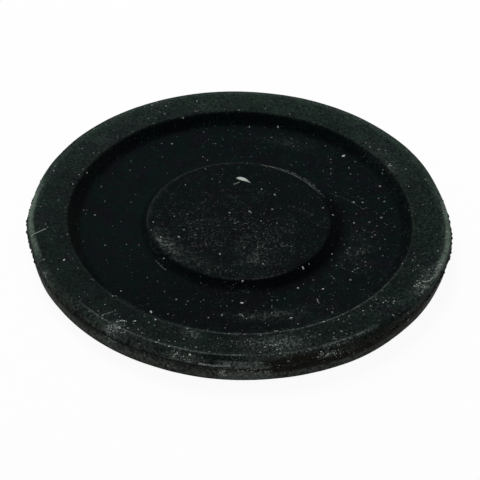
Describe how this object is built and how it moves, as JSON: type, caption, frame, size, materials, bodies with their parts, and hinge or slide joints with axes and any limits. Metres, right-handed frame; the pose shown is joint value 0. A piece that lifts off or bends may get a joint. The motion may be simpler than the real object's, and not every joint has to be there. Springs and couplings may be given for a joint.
{
  "type": "flush valve diaphragm",
  "caption": "Round black rubber diaphragm: a moulded disc with a raised clamping rim, a sunken ring that flexes and a low central boss.",
  "frame": {"origin": "centre of the flat underside, which the disc lies on", "axes": "+Z is the disc's axis, pointing out of the side with the raised rim and the boss; +X and +Y lie in the disc's plane"},
  "size_m": [0.05, 0.05, 0.0033],
  "materials": {
    "black_rubber": "dull moulded black rubber with a slight green cast and a dusting of pale release talc"
  },
  "bodies": {
    "root": {"diaphragm": "black_rubber"}
  },
  "joints": []
}
